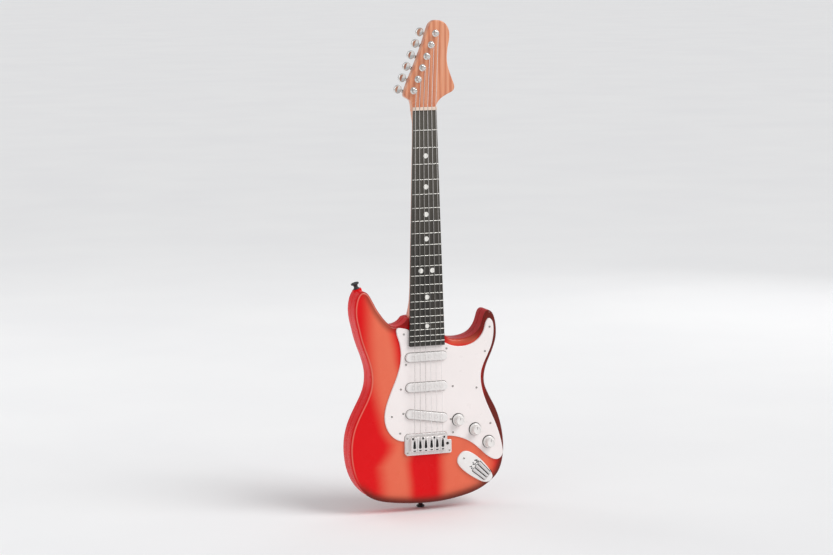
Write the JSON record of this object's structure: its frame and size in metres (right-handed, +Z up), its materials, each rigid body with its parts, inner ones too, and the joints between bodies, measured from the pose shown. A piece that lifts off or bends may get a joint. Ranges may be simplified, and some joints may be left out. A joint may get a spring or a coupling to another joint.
{
  "type": "toy electric guitar",
  "caption": "Child-size toy electric guitar: two-shell double-cutaway body, bolt-on neck, six strings, turning tuners and knobs, three press keys, hinged battery door.",
  "frame": {"origin": "middle of the flat back of the body, 119 mm above its lower rim", "axes": "+Z up along the neck towards the headstock, -Y out of the front face, +X towards the treble (short horn) side"},
  "size_m": [0.2272, 0.05, 0.6836],
  "materials": {
    "red_gloss": "glossy moulded plastic",
    "white_plastic": "semi-gloss moulded plastic",
    "panel_plastic": "pale silver-white moulded plastic",
    "wood_print": "satin plastic with printed pink-orange wood grain",
    "board_black": "satin near-black with faint brown grain",
    "silver_trim": "bright silver",
    "nut_plastic": "satin pale bone",
    "chrome": "polished",
    "string_steel": "plain and wound steel",
    "steel": "zinc plated",
    "dark_plastic": "satin black",
    "circuit_board": "solder-masked board",
    "speaker_cone": "paper cone and steel frame",
    "cell": "printed sleeve, no lettering"
  },
  "bodies": {
    "body": {"body_front_shell": "red_gloss", "body_rear_shell": "red_gloss", "pickguard": "white_plastic", "neck": "wood_print", "fretboard": "board_black", "fret_ladder": "silver_trim", "nut": "nut_plastic", "string_1": "string_steel", "string_2": "string_steel", "string_3": "string_steel", "string_4": "string_steel", "string_5": "string_steel", "string_6": "string_steel", "bridge_plate": "silver_trim", "string_anchor": "dark_plastic", "pickup_neck": "white_plastic", "pickup_middle": "white_plastic", "pickup_bridge": "white_plastic", "pot_board": "circuit_board", "control_panel": "panel_plastic", "key_board": "circuit_board", "main_board": "circuit_board", "speaker": "speaker_cone", "battery_box": "dark_plastic", "battery_1": "cell", "battery_2": "cell", "battery_3": "cell", "battery_contact_lower": "steel", "battery_contact_upper": "steel", "strap_button_tail": "dark_plastic", "strap_button_horn": "dark_plastic", "tuner_plate": "chrome", "neck_screw_1": "steel", "neck_screw_2": "steel", "neck_screw_3": "steel", "neck_screw_4": "steel", "case_screw_1": "steel", "case_screw_2": "steel", "case_screw_3": "steel", "case_screw_4": "steel"},
    "knob_1": {"knob_1": "white_plastic"},
    "knob_2": {"knob_2": "white_plastic"},
    "knob_3": {"knob_3": "white_plastic"},
    "key_1": {"key_1": "white_plastic"},
    "key_2": {"key_2": "white_plastic"},
    "key_3": {"key_3": "white_plastic"},
    "battery_door": {"battery_door": "red_gloss", "battery_door_screw": "steel"},
    "tuner_button_1": {"tuner_button_1": "chrome"},
    "tuner_post_1": {"tuner_post_1": "chrome"},
    "tuner_button_2": {"tuner_button_2": "chrome"},
    "tuner_post_2": {"tuner_post_2": "chrome"},
    "tuner_button_3": {"tuner_button_3": "chrome"},
    "tuner_post_3": {"tuner_post_3": "chrome"},
    "tuner_button_4": {"tuner_button_4": "chrome"},
    "tuner_post_4": {"tuner_post_4": "chrome"},
    "tuner_button_5": {"tuner_button_5": "chrome"},
    "tuner_post_5": {"tuner_post_5": "chrome"},
    "tuner_button_6": {"tuner_button_6": "chrome"},
    "tuner_post_6": {"tuner_post_6": "chrome"}
  },
  "joints": [
    {"name": "knob_1_turn", "type": "hinge", "parent": "body", "child": "knob_1", "pos_m": [0.0464, -0.04, -0.0034], "axis": [0, -1, 0], "range_deg": [-150, 150]},
    {"name": "knob_2_turn", "type": "hinge", "parent": "body", "child": "knob_2", "pos_m": [0.0715, -0.04, -0.0184], "axis": [0, -1, 0], "range_deg": [-150, 150]},
    {"name": "knob_3_turn", "type": "hinge", "parent": "body", "child": "knob_3", "pos_m": [0.0918, -0.04, -0.0379], "axis": [0, -1, 0], "range_deg": [-150, 150]},
    {"name": "key_1_press", "type": "slide", "parent": "body", "child": "key_1", "axis": [0, 1, 0], "range_m": [0, 0.0012], "stiffness_N_per_m": 400},
    {"name": "key_2_press", "type": "slide", "parent": "body", "child": "key_2", "axis": [0, 1, 0], "range_m": [0, 0.0012], "stiffness_N_per_m": 400},
    {"name": "key_3_press", "type": "slide", "parent": "body", "child": "key_3", "axis": [0, 1, 0], "range_m": [0, 0.0012], "stiffness_N_per_m": 400},
    {"name": "battery_door_open", "type": "hinge", "parent": "body", "child": "battery_door", "pos_m": [-0.048, -0.00115, -0.08555], "axis": [-1, 0, 0], "range_deg": [0, 100]},
    {"name": "tuner_1_turn", "type": "hinge", "parent": "body", "child": "tuner_button_1", "pos_m": [-0.01705, -0.0224, 0.45391], "axis": [-0.9222, 0, 0.3867], "range_deg": [-180, 180]},
    {"name": "post_1_turn", "type": "hinge", "parent": "body", "child": "tuner_post_1", "pos_m": [-0.015, -0.034, 0.4588], "axis": [0, -1, 0], "range_deg": [-13, 13]},
    {"name": "tuner_2_turn", "type": "hinge", "parent": "body", "child": "tuner_button_2", "pos_m": [-0.01055, -0.0224, 0.46941], "axis": [-0.9222, 0, 0.3867], "range_deg": [-180, 180]},
    {"name": "post_2_turn", "type": "hinge", "parent": "body", "child": "tuner_post_2", "pos_m": [-0.0085, -0.034, 0.4743], "axis": [0, -1, 0], "range_deg": [-13, 13]},
    {"name": "tuner_3_turn", "type": "hinge", "parent": "body", "child": "tuner_button_3", "pos_m": [-0.00405, -0.0224, 0.48491], "axis": [-0.9222, 0, 0.3867], "range_deg": [-180, 180]},
    {"name": "post_3_turn", "type": "hinge", "parent": "body", "child": "tuner_post_3", "pos_m": [-0.002, -0.034, 0.4898], "axis": [0, -1, 0], "range_deg": [-13, 13]},
    {"name": "tuner_4_turn", "type": "hinge", "parent": "body", "child": "tuner_button_4", "pos_m": [0.00245, -0.0224, 0.50041], "axis": [-0.9222, 0, 0.3867], "range_deg": [-180, 180]},
    {"name": "post_4_turn", "type": "hinge", "parent": "body", "child": "tuner_post_4", "pos_m": [0.0045, -0.034, 0.5053], "axis": [0, -1, 0], "range_deg": [-13, 13]},
    {"name": "tuner_5_turn", "type": "hinge", "parent": "body", "child": "tuner_button_5", "pos_m": [0.00895, -0.0224, 0.51591], "axis": [-0.9222, 0, 0.3867], "range_deg": [-180, 180]},
    {"name": "post_5_turn", "type": "hinge", "parent": "body", "child": "tuner_post_5", "pos_m": [0.011, -0.034, 0.5208], "axis": [0, -1, 0], "range_deg": [-13, 13]},
    {"name": "tuner_6_turn", "type": "hinge", "parent": "body", "child": "tuner_button_6", "pos_m": [0.01545, -0.0224, 0.53141], "axis": [-0.9222, 0, 0.3867], "range_deg": [-180, 180]},
    {"name": "post_6_turn", "type": "hinge", "parent": "body", "child": "tuner_post_6", "pos_m": [0.0175, -0.034, 0.5363], "axis": [0, -1, 0], "range_deg": [-13, 13]}
  ],
  "couplings": [
    {"joint": "post_1_turn", "follows": "tuner_1_turn", "ratio": -0.071429},
    {"joint": "post_2_turn", "follows": "tuner_2_turn", "ratio": -0.071429},
    {"joint": "post_3_turn", "follows": "tuner_3_turn", "ratio": -0.071429},
    {"joint": "post_4_turn", "follows": "tuner_4_turn", "ratio": -0.071429},
    {"joint": "post_5_turn", "follows": "tuner_5_turn", "ratio": -0.071429},
    {"joint": "post_6_turn", "follows": "tuner_6_turn", "ratio": -0.071429}
  ]
}
